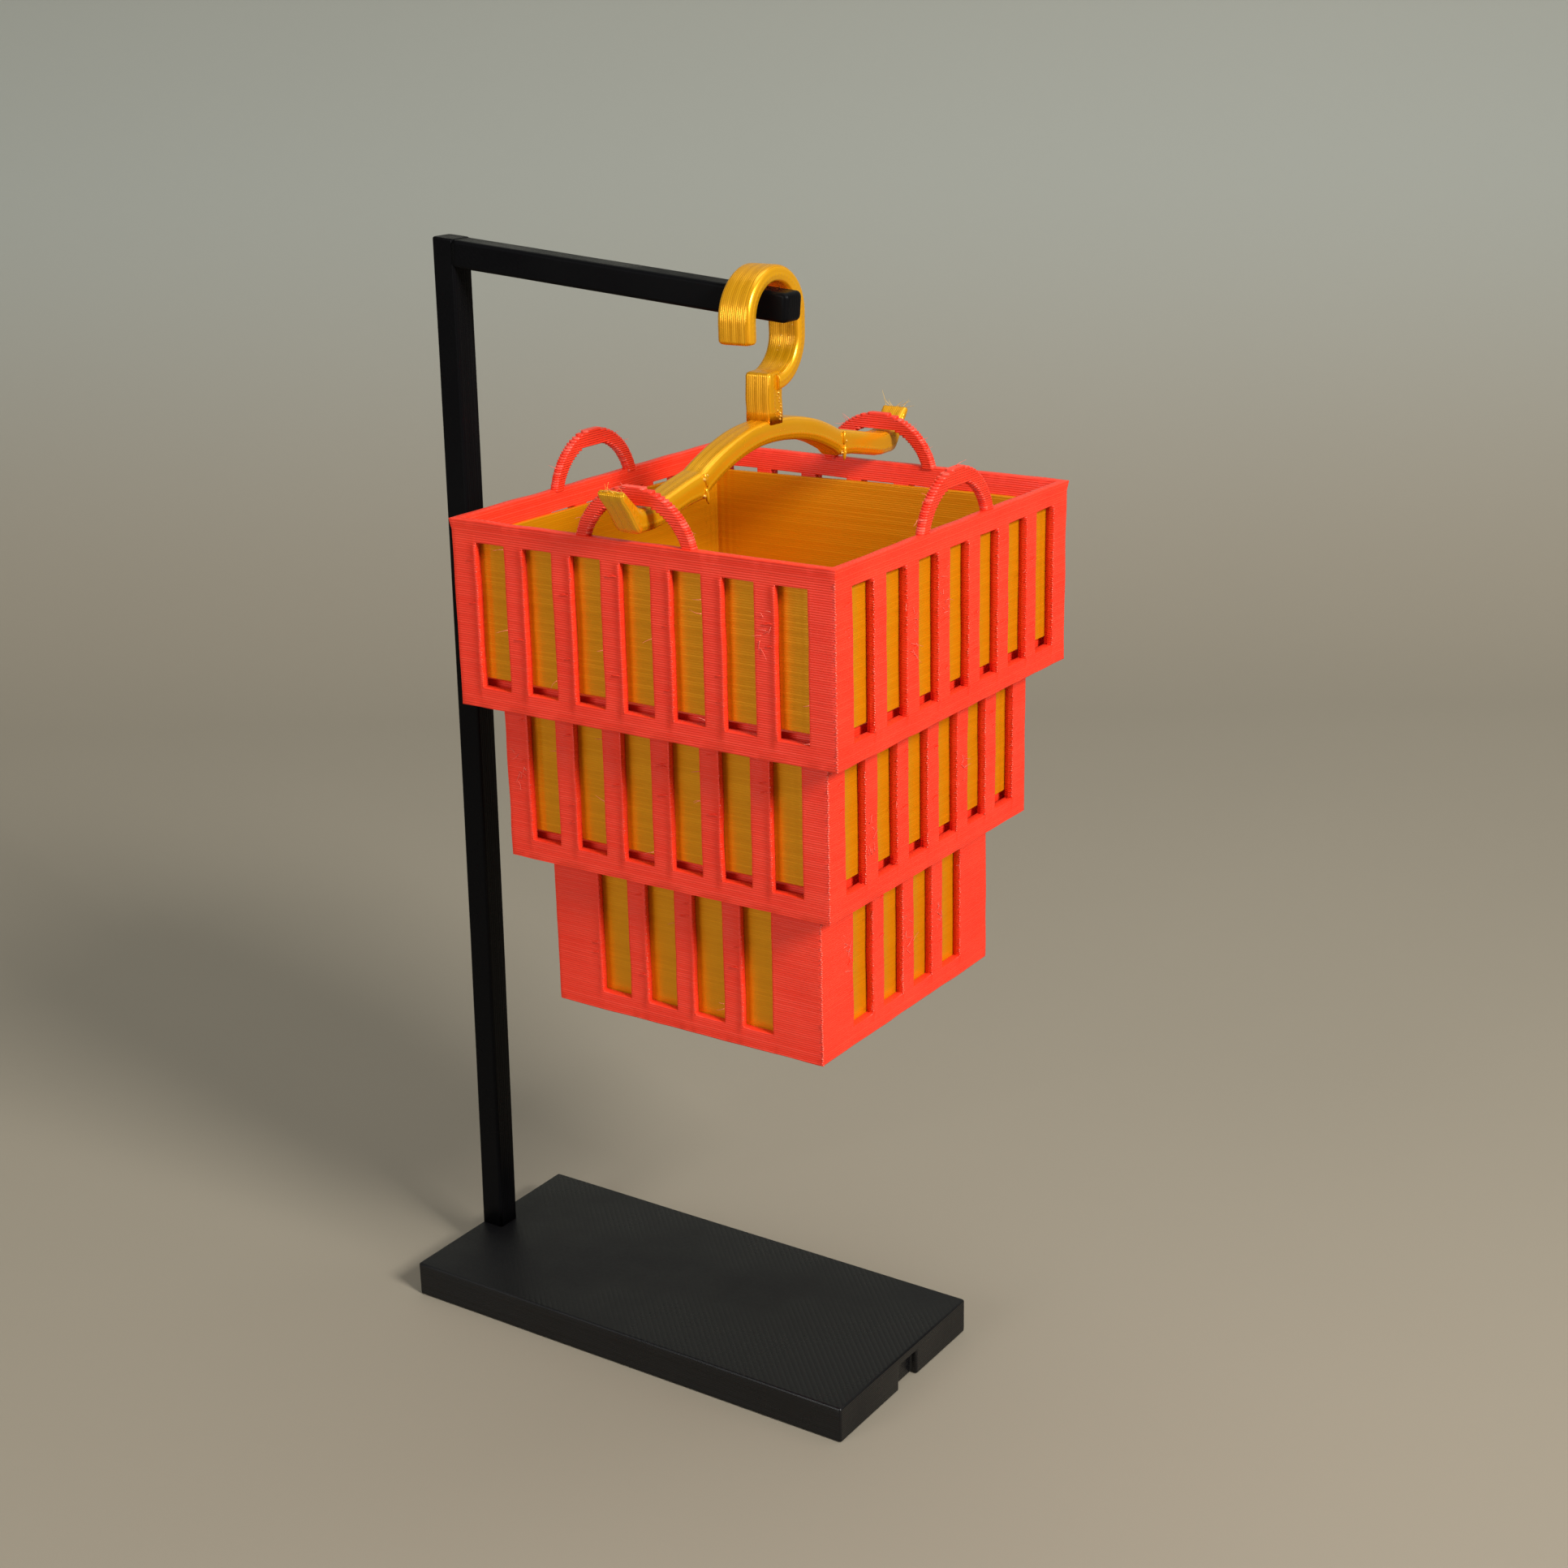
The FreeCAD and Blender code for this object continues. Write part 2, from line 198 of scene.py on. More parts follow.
redLook = {
    "deep": (0.74, 0.018, 0.004, 1), "bright": (0.90, 0.062, 0.026, 1),
    "pale": (0.98, 0.36, 0.28, 1),  # scuffed seams, and painted highlight for the glint of gloss on beads, edges and hairs
    "layerAxis": 2, "layer": 0.2, "line": 0.45, "outlined": False,
    "sway": 0.02, "swayScale": 160.0, "patchScale": 220.0, "fineScale": 2600.0,
    "ridgeDepth": 0.02, "lineDepth": 0.014, "waveDepth": 0.03, "fineDepth": 0.006,
    "ringing": 0, "lineEven": 0.8, "bumpStrength": 0.9, "uneven": 0.15,
    "toneVary": 0.5, "layerVary": 0.08, "grooveShade": 0.34,
    "rough": 0.42, "roughVary": 0.18, "smudge": 0.1, "roughLayer": 0.05,
    "metal": 0.0, "coat": 0.0, "coatRough": 0.3, "specular": 0.4,
    "inner": 0.12, "innerReach": (1.0, 0.25, 0.15),
}
# pale: the colour that lumps and hairs on the hanger are painted towards, a painted highlight
goldLook = dict(
    redLook, deep=(0.62, 0.24, 0.003, 1), bright=(0.90, 0.42, 0.008, 1), pale=(1.0, 0.80, 0.25, 1),
    layerVary=0.25, toneVary=0.3, grooveShade=0.15, rough=0.32, roughVary=0.1, roughLayer=0.12,
    metal=0.75, coat=0.25, coatRough=0.2, specular=0.5, inner=0.0, uneven=0.3,
    ridgeDepth=0.014, waveDepth=0.02, fineDepth=0.002)
hangerLook = dict(
    goldLook, deep=(0.70, 0.285, 0.002, 1), bright=(0.92, 0.46, 0.008, 1), metal=0.52, coat=0.1,
    layerAxis=0, outlined=True, line=0.62, lineDepth=0.05, ridgeDepth=0.012,
    rough=0.33, roughLayer=0.2)
linerLook = dict(
    goldLook, deep=(0.56, 0.20, 0.001, 1), bright=(0.80, 0.36, 0.004, 1), metal=0.42, coat=0.0,
    specular=0.35, ridgeDepth=0.007, ringing=0.02, layerVary=0.1, toneVary=0.12,
    rough=0.34, roughLayer=0.05, uneven=0.1)
blackLook = dict(
    redLook, deep=(0.0008, 0.0008, 0.001, 1), bright=(0.006, 0.006, 0.0068, 1),
    pale=(0.05, 0.05, 0.055, 1), line=0.5, lineDepth=0.026, lineEven=0.1, patchScale=70.0,
    ridgeDepth=0.014, waveDepth=0.035, fineDepth=0.003, grooveShade=0.1,
    rough=0.36, roughVary=0.2, smudge=0.9, specular=0.3, inner=0.0)
barLook = dict(blackLook, layerAxis=1, rough=0.32, line=0.42, lineDepth=0.004, specular=0.05)

red = printedPlastic("redPlastic", redLook)
gold = printedPlastic("silkGoldHanger", hangerLook)
linerGold = printedPlastic("silkGoldLiner", linerLook)
black = printedPlastic("blackBase", blackLook)
blackBar = printedPlastic("blackBar", barLook)
print("finishes ready")


def addPiece(name, bm, material, body, nodes):
    mesh = bpy.data.meshes.new(name)
    bmesh.ops.recalc_face_normals(bm, faces=bm.faces)
    bm.to_mesh(mesh)
    bm.free()
    mesh.polygons.foreach_set("use_smooth", [True] * len(mesh.polygons))
    mesh.materials.append(material)
    piece = bpy.data.objects.new(name, mesh)
    bpy.context.scene.collection.objects.link(piece)
    weighted = piece.modifiers.new("evenNormals", "WEIGHTED_NORMAL")
    weighted.keep_sharp = True
    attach(piece, body)
    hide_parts(*nodes)
    return piece


def stations(edges, step):  # the edges, with even points between them
    edges = sorted(set(round(e, 7) for e in edges))
    points = []
    for low, high in zip(edges, edges[1:]):
        count = max(1, ceil((high - low) / step - 1e-6))
        points += [low + (high - low) * n / count for n in range(count)]
    return points + [edges[-1]]


cellFaces = {  # neighbour -> corners of the shared face
    (1, 0, 0): ((1, 0, 0), (1, 1, 0), (1, 1, 1), (1, 0, 1)),
    (-1, 0, 0): ((0, 0, 0), (0, 0, 1), (0, 1, 1), (0, 1, 0)),
    (0, 1, 0): ((0, 1, 0), (0, 1, 1), (1, 1, 1), (1, 1, 0)),
    (0, -1, 0): ((0, 0, 0), (1, 0, 0), (1, 0, 1), (0, 0, 1)),
    (0, 0, 1): ((0, 0, 1), (1, 0, 1), (1, 1, 1), (0, 1, 1)),
    (0, 0, -1): ((0, 0, 0), (0, 1, 0), (1, 1, 0), (1, 0, 0)),
}


def cellMesh(grid, solid, rounding, segments=2):  # skin of the grid's solid cells, edges rounded
    bm = bmesh.new()
    counts = [len(line) - 1 for line in grid]
    filled = set()
    for i in range(counts[0]):
        for j in range(counts[1]):
            for k in range(counts[2]):
                middle = [(line[n] + line[n + 1]) / 2 for line, n in zip(grid, (i, j, k))]
                if solid(*middle):
                    filled.add((i, j, k))
    corners = {}
    for cell in filled:
        for step, face in cellFaces.items():
            if tuple(a + b for a, b in zip(cell, step)) in filled:
                continue
            loop = []
            for corner in face:
                key = tuple(a + b for a, b in zip(cell, corner))
                if key not in corners:
                    corners[key] = bm.verts.new([line[n] for line, n in zip(grid, key)])
                loop.append(corners[key])
            bm.faces.new(loop)
    bm.normal_update()
    sharp = [e for e in bm.edges if len(e.link_faces) == 2 and e.calc_face_angle() > 0.7]
    bmesh.ops.bevel(bm, geom=sharp, offset=rounding, segments=segments, profile=0.5,
                    affect="EDGES", clamp_overlap=True)
    return bm


def vertexNumber(bm, name):  # a number kept on each vertex
    return bm.verts.layers.float.get(name) or bm.verts.layers.float.new(name)


def waver(bm, amount, scale, seed):  # the slight wander of printed walls
    shift = Vector((seed * 7.3, seed * 3.1, seed * 1.7))
    for v in bm.verts:
        v.co += noise.noise_vector(v.co * scale + shift) * amount


def mark(bm, name, value):  # a number on each vertex, for the finish to read
    layer = vertexNumber(bm, name)
    for v in bm.verts:
        v[layer] = value(v.co)


def joinRings(bm, rings):  # faces between closed rings, with both ends filled
    for one, two in zip(rings, rings[1:]):
        for a in range(len(one)):
            b = (a + 1) % len(one)
            bm.faces.new((one[a], one[b], two[b], two[a]))
    bm.faces.new(rings[0][::-1])
    bm.faces.new(rings[-1])


def addBead(bm, spot, radius, wearAndSheen):  # a small lump, eight faces, painted paler by the given amount, partly as painted highlight
    layer = vertexNumber(bm, "seamAndSheen")
    tips = []
    for way in ((1, 0, 0), (0, 1, 0), (-1, 0, 0), (0, -1, 0), (0, 0, 1), (0, 0, -1)):
        tips.append(bm.verts.new(spot + Vector(way) * radius))
        tips[-1][layer] = wearAndSheen
    for n in range(4):
        bm.faces.new((tips[n], tips[(n + 1) % 4], tips[4]))
        bm.faces.new((tips[(n + 1) % 4], tips[n], tips[5]))


# pale: how far hairs are painted towards the pale colour, partly the lighter look of thin strands
# and partly painted highlight
hair = {"rings": 7, "radius": 0.032 * mm, "curl": 0.35, "taper": 0.7, "pale": 0.55}


def addHair(bm, start, heading, length, luck):  # a whisker of pulled plastic
    layer = vertexNumber(bm, "seamAndSheen")
    heading = heading.normalized()
    curl = Vector([luck.uniform(-1, 1) for n in range(3)])
    rings = []
    for n in range(hair["rings"]):
        part = n / (hair["rings"] - 1)
        middle = start + heading * length * part + curl * length * hair["curl"] * part * part
        across = heading.cross(Vector((0.3, 0.5, 0.8))).normalized()
        upward = heading.cross(across)
        ring = []
        for corner in range(3):
            angle = corner * 2 * pi / 3
            offset = across * cos(angle) + upward * sin(angle)
            reach = hair["radius"] * (1 - hair["taper"] * part)
            ring.append(bm.verts.new(middle + offset * reach))
            ring[-1][layer] = hair["pale"]
        rings.append(ring)
    joinRings(bm, rings)


def addCrease(bm, start, end, radius):  # a low ridge lying on a face, thin at both ends
    along = (end - start).normalized()
    across = along.cross(Vector((0.31, 0.52, 0.79))).normalized()
    upward = along.cross(across)
    rings = []
    for n in range(6):
        part = n / 5
        swell = radius * max(0.2, sin(pi * part) ** 0.5)
        middle = start.lerp(end, part) + Vector((0, 0, radius * 0.8 * sin(part * 5)))
        rings.append([bm.verts.new(middle + (across * cos(a) + upward * sin(a)) * swell)
                      for a in (k * pi / 3 for k in range(6))])
    joinRings(bm, rings)


def ribbon(bm, pairs, half, corner, arcs=4):  # band through (outer, inner, width) places
    layer, run = vertexNumber(bm, "across"), vertexNumber(bm, "along")
    rings, travelled, before = [], 0.0, None
    for outer, inner, width in pairs:
        middle = (outer + inner) / 2
        travelled += (middle - before).length if before else 0
        before = middle
        thick = (outer - inner).length / 2
        upward = (outer - inner).normalized()
        wide = half * width
        turn = min(corner, thick * 0.95, wide * 0.95)
        ring = []
        for quarter, (sx, sy) in enumerate(((1, 1), (-1, 1), (-1, -1), (1, -1))):
            for n in range(arcs + 1):
                angle = (quarter + n / arcs) * pi / 2
                x = sx * (wide - turn) + turn * cos(angle)
                y = sy * (thick - turn) + turn * sin(angle)
                vert = bm.verts.new(middle + Vector((x, 0, 0)) + upward * y)
                vert[layer], vert[run] = (thick + y) / mm, travelled / mm
                ring.append(vert)
            if quarter % 2 == 1:  # the flat side, in strips, so outline passes show
                top, low = sy * (thick - turn), -sy * (thick - turn)
                for n in range(1, 4):
                    y = top + (low - top) * n / 4
                    vert = bm.verts.new(middle + Vector((sx * wide, 0, 0)) + upward * y)
                    vert[layer], vert[run] = (thick + y) / mm, travelled / mm
                    ring.append(vert)
        rings.append(ring)
    joinRings(bm, rings)


base = {"rounding": 0.22 * mm, "step": 2.5 * mm, "waver": 0.02 * mm,
        "notchWidth": 3.2 * mm, "notchHeight": 2.5 * mm, "notchDepth": 0.7 * mm,
        "notchOffset": 0.5 * mm}


def makeBase():
    low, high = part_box("base_plate")
    notchLow = base["notchOffset"] - base["notchWidth"] / 2
    notchHigh = base["notchOffset"] + base["notchWidth"] / 2
    notchBack, notchTop = high.x - base["notchDepth"], low.z + base["notchHeight"]
    grid = [stations([low.x, notchBack, high.x], base["step"]),
            stations([low.y, notchLow, notchHigh, high.y], base["step"]),
            stations([low.z, notchTop, high.z], base["step"])]

    def solid(x, y, z):
        return not (x > notchBack and notchLow < y < notchHigh and z < notchTop)

    bm = cellMesh(grid, solid, base["rounding"], 3)
    waver(bm, base["waver"], 90, 1)
    for v in bm.verts:
        v.co.z = max(v.co.z, low.z)
    addPiece("basePlate", bm, black, "stand", ["base_plate"])


def addBar(bm, starts, ends, rounding, endRounding, rings, bend):
    # starts and ends are the four corners of each end, in the same order
    def section(part, inset):
        corners = [a.lerp(b, part) for a, b in zip(starts, ends)]
        middle = sum(corners, Vector()) / 4
        ring = []
        for n in range(4):
            here, before, after = corners[n], corners[n - 1], corners[(n + 1) % 4]
            toBefore, toAfter = (before - here).normalized(), (after - here).normalized()
            hub = here + (toBefore + toAfter) * (rounding + inset)
            for step in range(5):
                angle = step / 4 * pi / 2
                outward = -(toAfter * cos(angle) + toBefore * sin(angle))
                ring.append(hub + outward * rounding)
        shift = bend * sin(pi * part)
        return [p + shift for p in ring]

    length = (ends[0] - starts[0]).length
    rows = []
    for n in range(rings + 1):
        rows.append(section(n / rings * (1 - endRounding / length), 0))
    for n in range(1, 6):
        angle = n / 5 * pi / 2
        part = 1 - endRounding / length * (1 - sin(angle))
        rows.append(section(part, endRounding * (1 - cos(angle)) * 0.8))
    joinRings(bm, [[bm.verts.new(p) for p in row] for row in rows])


post = {"rounding": 0.28 * mm, "endRounding": 0.2 * mm, "rings": 44, "bow": 0.18 * mm,
        "waver": 0.015 * mm}


def makePost():
    low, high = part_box("post")
    depth = high.y - low.y
    points = [v.co.copy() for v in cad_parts["post"].data.vertices]
    foot = [p for p in points if p.z < low.z + 0.1 * mm]
    head = [p for p in points if p.z > high.z - 0.6 * mm]
    corners = []
    for group in (foot, head):
        x0, x1 = min(p.x for p in group), max(p.x for p in group)
        z0 = max(p.z for p in group if p.x < x0 + 0.4 * mm)
        z1 = max(p.z for p in group if p.x > x1 - 0.4 * mm)
        corners.append([Vector((x0, -depth / 2, z0)), Vector((x1, -depth / 2, z1)),
                        Vector((x1, depth / 2, z1)), Vector((x0, depth / 2, z0))])
    bm = bmesh.new()
    addBar(bm, corners[0], corners[1], post["rounding"], post["endRounding"], post["rings"],
           Vector((post["bow"], 0, 0)))
    waver(bm, post["waver"], 120, 2)
    addPiece("post", bm, blackBar, "stand", ["post"])


arm = {"rounding": 0.34 * mm, "tipRounding": 0.55 * mm, "rings": 44, "depth": 2.5 * mm,
       "intoPost": 0.4 * mm, "pastTip": 0.1 * mm, "waver": 0.015 * mm}


def makeArm():
    low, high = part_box("arm")
    points = [v.co.copy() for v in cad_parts["arm"].data.vertices]
    depth = high.y - low.y
    rear = [p for p in points if p.x < low.x + 0.3 * mm]
    rearTop, rearLow = max(p.z for p in rear), min(p.z for p in rear)
    under = [p for p in points if p.z < low.z + 0.02 * mm]
    tipLow = max(p.x for p in under)
    slope = (rearLow - low.z) / (tipLow - low.x)
    tilt = atan2(slope, 1)
    run = Vector((cos(tilt), 0, -sin(tilt)))
    rise = Vector((sin(tilt), 0, cos(tilt)))
    thick = arm["depth"]
    first = Vector((low.x, 0, rearTop))
    length = (high.x - low.x) / cos(tilt)
    starts, ends = [], []
    for y, drop in ((-depth / 2, 0), (-depth / 2, thick), (depth / 2, thick), (depth / 2, 0)):
        spot = first - rise * drop + Vector((0, y, 0)) - run * arm["intoPost"]
        starts.append(spot)
        ends.append(spot + run * (length + arm["pastTip"]))
    bm = bmesh.new()
    addBar(bm, starts, ends, arm["rounding"], arm["tipRounding"], arm["rings"], Vector())
    waver(bm, arm["waver"], 120, 3)
    addPiece("arm", bm, blackBar, "stand", ["arm"])


makeBase()
makePost()
makeArm()
print("stand done")


hook = {"band": 1.4 * mm, "corner": 0.42 * mm, "lip": 1.75 * mm, "straight": 1.65 * mm,
        "steps": 40, "endSteps": 4, "endRise": 0.3 * mm, "lowerSteps": 26,
        "waver": 0.05 * mm, "flecks": 10}


def makeHook():
    low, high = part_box("hanger_hook")
    outer = (high.y - low.y) / 2
    inner = outer - hook["band"]
    x, wide = (low.x + high.x) / 2, (high.x - low.x) / 2
    centre = high.z - outer
    lower = centre - hook["straight"]
    path = []  # (outward direction, hub, width)
    lip = centre - hook["lip"]
    for n in range(hook["endSteps"]):  # rounded end of the front limb
        part = n / (hook["endSteps"] - 1)
        path.append((pi, Vector((x, 0, lip + hook["endRise"] * (1 - cos(part * pi / 2)))),
                     0.82 + 0.18 * sin(part * pi / 2)))
    for n in range(hook["steps"] + 1):
        path.append((pi * (1 - n / hook["steps"]), Vector((x, 0, centre)), 1))
    for n in range(hook["lowerSteps"] + 1):
        path.append((-n / hook["lowerSteps"] * pi * 0.5, Vector((x, 0, lower)), 1))
    pairs = []
    for number, (angle, hub, width) in enumerate(path):
        way = Vector((0, cos(angle), sin(angle)))
        thin = 1 if number >= hook["endSteps"] else 0.7 + 0.1 * number
        mid = (outer + inner) / 2
        reach = (outer - inner) / 2 * thin
        pairs.append((hub + way * (mid + reach), hub + way * (mid - reach), width))
    bm = bmesh.new()
    ribbon(bm, pairs, wide, hook["corner"])
    waver(bm, hook["waver"], 260, 4)
    luck = random.Random(3)
    for n in range(hook["flecks"]):  # on the inside of the bend
        angle = luck.uniform(-0.4, 0.9) * pi
        spot = Vector((x + luck.uniform(-0.7, 0.7) * wide, inner * cos(angle),
                       centre + inner * sin(angle)))
        # painted highlight: these flecks are painted towards pale gold
        addBead(bm, spot, luck.uniform(0.05, 0.09) * mm, 0.8)
    addPiece("hangerHook", bm, gold, "hanger", ["hanger_hook"])


bow = {"half": 10.6 * mm, "rise": 2.6 * mm, "fall": 1.4 * mm, "depth": 2.0 * mm,
       "corner": 0.62 * mm, "saddleIn": 17.4 * mm, "saddleOut": 19.8 * mm,
       "stemCorner": 0.22 * mm, "stemDepth": 2.0 * mm, "stemSink": 0.35 * mm,
       "waver": 0.07 * mm, "stemBeads": 16, "blobs": 5, "hairs": 7, "drip": 0.2 * mm}


def makeBow():
    low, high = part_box("hanger_bow")
    x, wide = (low.x + high.x) / 2, (high.x - low.x) / 2
    half, rise, depth = bow["half"], bow["rise"], bow["depth"]
    over = (half * half + rise * rise) / (2 * rise)
    saddleTop = low.z + depth
    top = saddleTop + bow["fall"] + rise
    hub = Vector((x, 0, top - over))
    right = []
    for n in range(19):
        angle = atan2(half, over - rise) * n / 18
        way = Vector((0, sin(angle), cos(angle)))
        right.append((hub + way * over, hub + way * (over - depth), 1))
    tipReach, shoulder = high.y, top - rise
    saddleIn, saddleOut = bow["saddleIn"], bow["saddleOut"]
    rows = [  # outer y, z; inner y, z; width
        (half + 0.3 * mm, shoulder - 0.02 * mm, half - 0.32 * mm, shoulder - 2.26 * mm, 1),
        (half + 0.6 * mm, shoulder - 0.1 * mm, half + 0.1 * mm, shoulder - 2.3 * mm, 1),
        (half + 2.2 * mm, shoulder - 0.42 * mm, half + 2.0 * mm, shoulder - 2.5 * mm, 1),
        (half + 4.5 * mm, shoulder - 0.95 * mm, half + 4.2 * mm, shoulder - 2.97 * mm, 1),
        (saddleIn - 0.3 * mm, saddleTop + 0.06 * mm, saddleIn - 0.9 * mm, low.z + 0.08 * mm, 1),
        (saddleIn + 0.3 * mm, saddleTop - 0.02 * mm, saddleIn, low.z, 1),
        (saddleOut - 1.2 * mm, saddleTop, saddleOut - 1.5 * mm, low.z, 1),
        (saddleOut - 0.65 * mm, saddleTop, saddleOut - 0.8 * mm, low.z, 1),
        (saddleOut - 0.45 * mm, saddleTop + 0.06 * mm, saddleOut - 0.45 * mm, low.z, 1),
        (saddleOut - 0.3 * mm, saddleTop + 0.18 * mm, saddleOut - 0.25 * mm, low.z + 0.1 * mm, 1),
        (saddleOut - 0.05 * mm, saddleTop + 0.42 * mm, saddleOut + 0.1 * mm, low.z + 0.5 * mm, 1),
        (saddleOut + 0.5 * mm, saddleTop + 0.92 * mm, saddleOut + 1.0 * mm, low.z + 1.9 * mm, 1),
        (tipReach - 0.85 * mm, saddleTop + 1.45 * mm, tipReach - 0.24 * mm, saddleTop + 0.9 * mm,
         1),
        (tipReach - 0.5 * mm, saddleTop + 1.7 * mm, tipReach - 0.07 * mm, saddleTop + 1.38 * mm, 1),
        (tipReach - 0.42 * mm, saddleTop + 1.75 * mm, tipReach - 0.08 * mm, saddleTop + 1.5 * mm,
         0.95),
    ]
    for outY, outZ, inY, inZ, width in rows:
        right.append((Vector((x, outY, outZ)), Vector((x, inY, inZ)), width))
    left = [(Vector((x, -a.y, a.z)), Vector((x, -b.y, b.z)), w) for a, b, w in right[1:]]
    bm = bmesh.new()
    ribbon(bm, left[::-1] + right, wide, bow["corner"])
    deep = bow["stemDepth"] / 2
    pairs = []
    for part, grow in ((0, 1.0), (0.25, 1), (0.5, 1), (0.75, 1), (0.93, 1), (0.98, 0.93), (1, 0.8)):
        z = top - bow["stemSink"] + (high.z - top + bow["stemSink"]) * part
        lean = 0.05 * mm * sin(part * 9)
        pairs.append((Vector((x, deep * grow + lean, z)), Vector((x, -deep * grow + lean, z)),
                      grow))
    ribbon(bm, pairs, wide * 0.99, bow["stemCorner"], 3)
    waver(bm, bow["waver"], 230, 5)
    luck = random.Random(5)
    for n in range(bow["stemBeads"]):  # rough column where each pass of the stem began
        z = top + (high.z - top) * n / bow["stemBeads"]
        # painted highlight: stem beads are painted slightly paler
        addBead(bm, Vector((x + wide, deep * 0.35 + luck.uniform(-0.25, 0.25) * mm, z)),
                luck.uniform(0.1, 0.2) * mm, 0.35)
    for side in (-1, 1):  # drips and blobs at the shoulders
        addCrease(bm, Vector((x + wide * 0.95, side * (half + 0.15 * mm), shoulder - 0.1 * mm)),
                  Vector((x + wide * 1.04, side * (half - 0.15 * mm), shoulder - 1.1 * mm)),
                  bow["drip"])
        addCrease(bm, Vector((x + wide * 1.0, side * (half + 0.1 * mm), shoulder - 1.3 * mm)),
                  Vector((x + wide * 1.06, side * (half - 0.2 * mm), shoulder - 2.5 * mm)),
                  bow["drip"])
        for n in range(bow["blobs"]):
            spot = Vector((x + wide * 0.98, side * (half + luck.uniform(-0.4, 0.5) * mm),
                           shoulder - luck.uniform(0.2, 2.0) * mm))
            # painted highlight: blobs are painted slightly paler
            addBead(bm, spot, luck.uniform(0.12, 0.24) * mm, 0.4)
        for n in range(bow["hairs"]):
            start = Vector((x + luck.uniform(-1, 1) * wide, side * (tipReach - 0.2 * mm),
                            saddleTop + 1.6 * mm))
            addHair(bm, start, Vector((luck.uniform(-1, 1), side * 0.1, luck.uniform(0.2, 0.8))),
                    luck.uniform(0.6, 1.3) * mm, luck)
    addPiece("hangerBow", bm, gold, "hanger", ["hanger_bow"])


makeHook()
makeBow()
print("hanger done")


tier = {
    "wall": 0.8 * mm, "rail": 1.8 * mm, "slot": 3.0 * mm, "pitch": 5.0 * mm, "slideGap": 0.2 * mm,
    "rounding": 0.13 * mm, "step": 1.1 * mm, "waver": 0.06 * mm, "layer": 0.2 * mm,
    "flare": 0.16 * mm, "flareHeight": 1.1 * mm, "lip": 0.1 * mm, "lipWidth": 0.5 * mm,
    "lipEnd": 0.18 * mm, "groove": 0.22 * mm, "grooveDepth": 0.4 * mm, "flangeLayers": 12,
    # cornerPale and the seam chances set how pale the seam beads are painted: painted highlight,
    # partly scuffed plastic
    "beadLow": 0.055, "beadHigh": 0.085, "cornerBead": 0.04, "cornerPale": 0.45,
    "beadJitter": 0.04 * mm, "crease": 0.085 * mm, "tangles": 0.3, "tangleHairs": 9, "hairs": 16,
}
slotCounts = {"top": 7, "middle": 6, "bottom": 4}
tierBelow = {"top": "middle", "middle": "bottom"}
tierSeed = {"top": 6, "middle": 7, "bottom": 8}


def tierBox(name):
    low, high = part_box(name + "_wall_front")[0].copy(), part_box(name + "_wall_back")[1].copy()
    return low, high, (low + high) / 2, (high.x - low.x) / 2


def frameParts(name):  # the boxes of the rings inside a tier, None where it has no such ring
    parts = {}
    for part in ("ledge", "flange", "floor"):
        node = name + "_" + part
        parts[part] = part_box(node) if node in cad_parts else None
    return parts


def frameSkin(name, parts, middles):  # four slotted walls with their ledge, flange and floor
    low, high, centre, half = tierBox(name)
    inside, grooved = half - tier["wall"], half - tier["grooveDepth"]
    slotLow, slotHigh = low.z + tier["rail"], high.z - tier["rail"]
    opening, reach = inside, half
    if parts["ledge"]:
        opening = tierBox(tierBelow[name])[3] + tier["slideGap"]
    edges = [m + s * (tier["slot"] / 2 + tier["groove"] * k) for m in middles for s in (-1, 1)
             for k in (0, 1, 2)]
    if parts["flange"]:
        reach = (parts["flange"][1].x - parts["flange"][0].x) / 2
    spread = stations([-half, -inside, inside, half, -opening, opening, -reach, reach] + edges,
                      tier["step"])
    levels = [low.z, slotLow, slotLow + tier["lipEnd"], slotHigh - tier["lipEnd"], slotHigh, high.z]
    for part in parts.values():
        if part:
            levels += [part[0].z, part[1].z]
    spread = sorted(set(spread + [-grooved, grooved]))
    grid = [[centre.x + u for u in spread], [centre.y + u for u in spread],
            stations(levels, tier["step"])]

    def solid(x, y, z):
        x, y = abs(x - centre.x), abs(y - centre.y)
        out = max(x, y)
        if parts["ledge"] and opening < out < half and z < parts["ledge"][1].z:
            return True
        if parts["floor"] and out < half and z < parts["floor"][1].z:
            return True
        if parts["flange"] and half < out < reach and z > parts["flange"][0].z:
            return True
        if not inside < out < half:
            return False
        if not slotLow < z < slotHigh or min(x, y) > inside:
            return True
        along, gap = min(x, y), tier["slot"] / 2 + (tier["groove"] if out < grooved else 0)
        return not any(abs(along - m) < gap for m in middles)

    return cellMesh(grid, solid, tier["rounding"])


def bulgeBars(bm, name, lips):  # bars swell beside each slot
    low, high, centre, half = tierBox(name)
    slotLow, slotHigh = low.z + tier["rail"], high.z - tier["rail"]
    for v in bm.verts:
        offset = v.co - centre
        for axis, sign, way in ((1, -1, 1), (0, 1, -1), (1, 1, -1), (0, -1, 1)):
            u = offset[1 - axis] * way
            outside = offset[axis] * sign >= half - tier["rounding"] * 1.2
            if not outside or not slotLow < v.co.z < slotHigh:
                continue
            for lip in lips:
                if lip - tier["lipWidth"] * 0.6 < u < lip + 0.01 * mm:
                    v.co[axis] += sign * tier["lip"]


def flareRim(bm, name):  # the top rim leans out a little
    low, high, centre, half = tierBox(name)
    for v in bm.verts:
        lift = max(0.0, (v.co.z - high.z + tier["flareHeight"]) / tier["flareHeight"])
        offset = v.co - centre
        for axis in (0, 1):
            if abs(offset[axis]) > half - tier["wall"] - 0.3 * mm:
                v.co[axis] += (1 if offset[axis] > 0 else -1) * tier["flare"] * lift * lift


